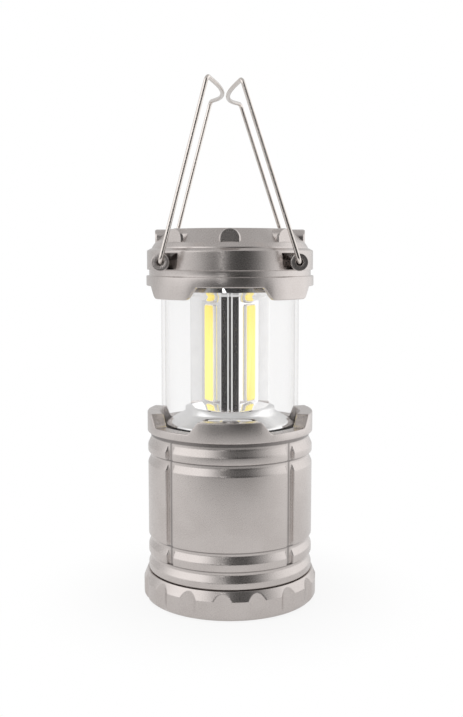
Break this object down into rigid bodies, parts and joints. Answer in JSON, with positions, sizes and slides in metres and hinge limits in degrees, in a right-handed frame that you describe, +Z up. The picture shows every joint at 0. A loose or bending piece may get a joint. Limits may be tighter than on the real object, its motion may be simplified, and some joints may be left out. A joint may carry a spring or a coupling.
{
  "type": "camping lantern",
  "caption": "Pop-up camping lantern: a clear tube and light core slide into a ribbed round base; wire bails on the toothed cap carry it, and a scalloped twist cover closes the battery bay.",
  "frame": {"origin": "middle of the flat foot, on the surface that the lantern stands on", "axes": "+Z up along the lantern's axis, the front as pictured faces -Y, +X to its right"},
  "size_m": [0.086, 0.086, 0.2488],
  "materials": {
    "grey_paint": "satin metallic grey paint on moulded plastic",
    "black_plastic": "fine matt moulding",
    "rubber_seal": "soft matt rubber",
    "screw_steel": "zinc plated",
    "cell_jacket": null,
    "spring_steel": "nickel plated",
    "brass_strip": "rolled strip",
    "clear_plastic": "clear polished moulding",
    "chrome_plating": "vacuum chromed moulding, mirror bright",
    "strip_board": "white faced aluminium board",
    "phosphor": "yellow glowing layer",
    "circuit_board": "green solder mask",
    "lead_jacket": "soft jacket",
    "handle_wire": "bright drawn wire"
  },
  "bodies": {
    "base": {"base_housing": "grey_paint", "collar_ring": "grey_paint", "seal_ring": "rubber_seal", "battery_tray": "black_plastic", "tray_screws": "screw_steel", "battery_cell_1": "cell_jacket", "battery_cell_2": "cell_jacket", "battery_cell_3": "cell_jacket", "battery_spring_1": "spring_steel", "battery_spring_2": "spring_steel", "battery_spring_3": "spring_steel", "contact_bridge_front": "spring_steel", "contact_tab_front": "spring_steel", "contact_tab_back": "spring_steel", "contact_bridge_back": "spring_steel", "contact_rails": "brass_strip"},
    "cover": {"bottom_cover": "grey_paint"},
    "head": {"slide_ring": "black_plastic", "wiper_contacts": "brass_strip", "clear_tube": "clear_plastic", "lower_dish": "chrome_plating", "top_reflector": "chrome_plating", "reflector_1": "chrome_plating", "reflector_2": "chrome_plating", "reflector_3": "chrome_plating", "cob_board_1": "strip_board", "cob_board_2": "strip_board", "cob_board_3": "strip_board", "cob_phosphor_1": "phosphor", "cob_phosphor_2": "phosphor", "cob_phosphor_3": "phosphor", "cap_plate": "black_plastic", "driver_board": "circuit_board", "lead_wires": "lead_jacket", "top_cap": "grey_paint", "cap_screws": "screw_steel"},
    "left_handle": {"left_handle": "handle_wire"},
    "right_handle": {"right_handle": "handle_wire"}
  },
  "joints": [
    {"name": "head_slide", "type": "slide", "parent": "base", "child": "head", "axis": [0, 0, 1], "range_m": [-0.061, 0]},
    {"name": "cover_twist", "type": "hinge", "parent": "base", "child": "cover", "pos_m": [0, 0, 0], "axis": [0, 0, 1], "range_deg": [0, 25]},
    {"name": "left_handle_swing", "type": "hinge", "parent": "head", "child": "left_handle", "pos_m": [-0.0315, 0, 0.166], "axis": [0, -1, 0], "range_deg": [0, 189]},
    {"name": "right_handle_swing", "type": "hinge", "parent": "head", "child": "right_handle", "pos_m": [0.0315, 0, 0.166], "axis": [0, 1, 0], "range_deg": [0, 192]}
  ]
}
